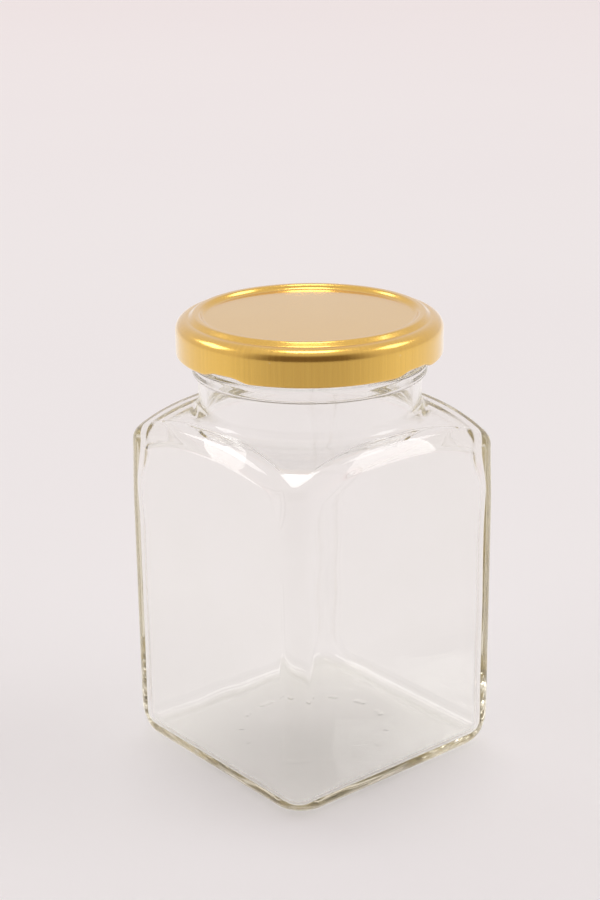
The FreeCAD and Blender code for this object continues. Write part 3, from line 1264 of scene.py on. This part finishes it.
@dataclass(frozen=True)
class Softbox:
    """A soft rectangular lamp that faces the jar, placed by its turn from the camera's side."""

    name: str
    turn: float
    elevation: float
    size: Range
    brightness: float
    distance: float = 6.0

    def build(self, aim: Vector, facing: float) -> None:
        """Make the lamp.

        Args:
            aim: The point it faces.
            facing: Azimuth of the camera.
        """
        data = bpy.data.lights.new(self.name, "AREA")
        data.shape = "RECTANGLE"
        data.size, data.size_y = self.size
        data.energy = self.brightness * math.pi * self.size[0] * self.size[1]
        lamp = bpy.data.objects.new(self.name, data)
        azimuth = facing + self.turn
        level = math.cos(self.elevation)
        away = Vector(
            (level * math.cos(azimuth), level * math.sin(azimuth), math.sin(self.elevation))
        )
        lamp.location = aim + away * self.distance
        lamp.rotation_euler = away.to_track_quat("Z", "Y").to_euler()
        bpy.context.scene.collection.objects.link(lamp)


@dataclass
class Studio:
    """The pale floor, the soft lamps, the surroundings and the camera."""

    viewpoint: Viewpoint = field(default_factory=Viewpoint)
    softboxes: tuple[Softbox, ...] = (
        Softbox("left_softbox", math.radians(-104.0), math.radians(35.0), (2.6, 1.8), 3.3),
        Softbox("right_softbox", math.radians(99.0), math.radians(45.0), (2.2, 1.8), 2.8),
        Softbox("top_softbox", math.pi, math.radians(83.0), (1.9, 1.9), 5.2),
    )
    aim: tuple[float, float, float] = (0.0, 0.0, 0.08)
    surround: Colour = (0.84, 0.785, 0.78, 1.0)
    surround_strength: float = 1.0
    diffuse_strength: float = 0.9
    dim: Colour = (0.2, 0.15, 0.12, 1.0)
    dim_front: Range = (0.45, 0.85)
    dim_height: Range = (0.9, 0.7)
    dim_through_glass: float = 0.15
    floor_side: float = 8.0
    floor_gap: float = 0.05 * MM

    def build(self, effects: Effects) -> None:
        """Make everything that isn't part of the object.

        Args:
            effects: The shared node groups.
        """
        self.viewpoint.build()
        self.make_floor(effects)
        self.make_surroundings()
        for lamp in self.softboxes:
            lamp.build(Vector(self.aim), self.viewpoint.azimuth)

    def make_floor(self, effects: Effects) -> None:
        """Lay the floor just under the jar.

        Args:
            effects: The shared node groups.
        """
        mesh = bmesh.new()
        bmesh.ops.create_grid(mesh, x_segments=4, y_segments=4, size=self.floor_side / 2)
        bmesh.ops.translate(mesh, verts=mesh.verts, vec=(0.0, 0.0, -self.floor_gap))
        paper = PalePaper().build(effects, self.viewpoint.azimuth)
        floor = finish_piece("studio_floor", mesh, [paper])

    def make_surroundings(self) -> None:
        """Light the scene from a pale room that is dim on the camera's side."""
        world = bpy.data.worlds.new("pale_room")
        world.use_nodes = True
        sheet = Sheet(world.node_tree)
        facing = self.viewpoint.azimuth
        way = sheet.add("TexCoord").outputs["Generated"]
        towards = sheet.add(
            "VectorMath",
            {0: way, 1: (math.cos(facing), math.sin(facing), 0.0)},
            operation="DOT_PRODUCT",
        ).outputs["Value"]
        up = sheet.add("SeparateXYZ", {0: way}).outputs[2]
        flat = sheet.sum("SUBTRACT", 1.0, sheet.sum("MULTIPLY", up, up))
        level = sheet.sum("SQRT", sheet.sum("MAXIMUM", flat, 1e-4))
        front = sheet.scaled(sheet.sum("DIVIDE", towards, level), self.dim_front)
        low = sheet.scaled(up, self.dim_height)
        ray = sheet.add("LightPath").outputs
        cleared = sheet.scaled(ray["Is Transmission Ray"], WHOLE, (1.0, self.dim_through_glass))
        dimness = sheet.sum("MULTIPLY", sheet.sum("MULTIPLY", front, low), cleared)
        room = sheet.tone(dimness, self.surround, self.dim)
        shown = sheet.sum("MAXIMUM", ray["Is Glossy Ray"], ray["Is Transmission Ray"])
        shown = sheet.sum("MAXIMUM", shown, ray["Is Camera Ray"])
        strengths = (self.diffuse_strength, self.surround_strength)
        strength = sheet.scaled(shown, WHOLE, strengths)
        pale = sheet.add("Background", {"Color": room, "Strength": strength})
        sheet.add("OutputWorld", {"Surface": pale.outputs[0]})
        bpy.context.scene.world = world


def dress_seal(compound: Material) -> None:
    """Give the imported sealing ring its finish.

    Args:
        compound: The ring's material.
    """
    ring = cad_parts["seal"]
    ring.data.materials.clear()
    ring.data.materials.append(compound)


def main() -> None:
    """Build the studio and every piece in order."""
    logging.basicConfig(level=logging.INFO, format="%(message)s")
    bpy.context.scene.view_settings.view_transform = "Standard"
    paths = bpy.context.scene.cycles
    paths.max_bounces = LIGHT_BOUNCES
    paths.glossy_bounces = LIGHT_BOUNCES
    paths.transmission_bounces = LIGHT_BOUNCES
    effects = Effects()
    Studio().build(effects)
    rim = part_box("jar")[1].z
    lid_base, lid_crest = (corner.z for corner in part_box("lid"))
    thread_base = lid_base + THREAD_LIFT
    jar = JarGlass(top=rim, thread_base=thread_base).build(ClearGlass().build(effects))
    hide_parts("jar")
    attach(jar, "root")
    LOG.info("jar glass: %d faces", len(jar.data.polygons))
    tinplate = GoldTinplate().build(effects)
    lid = TwistLid(base=lid_base, crest=lid_crest).build(tinplate, INNER_ENAMEL.build(effects))
    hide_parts("lid")
    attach(lid, "root")
    LOG.info("twist lid: %d faces", len(lid.data.polygons))
    dress_seal(SEALING_COMPOUND.build(effects))
    LOG.info("sealing ring: dressed in %s", Slot.COMPOUND.value)


if __name__ == "__main__":
    main()
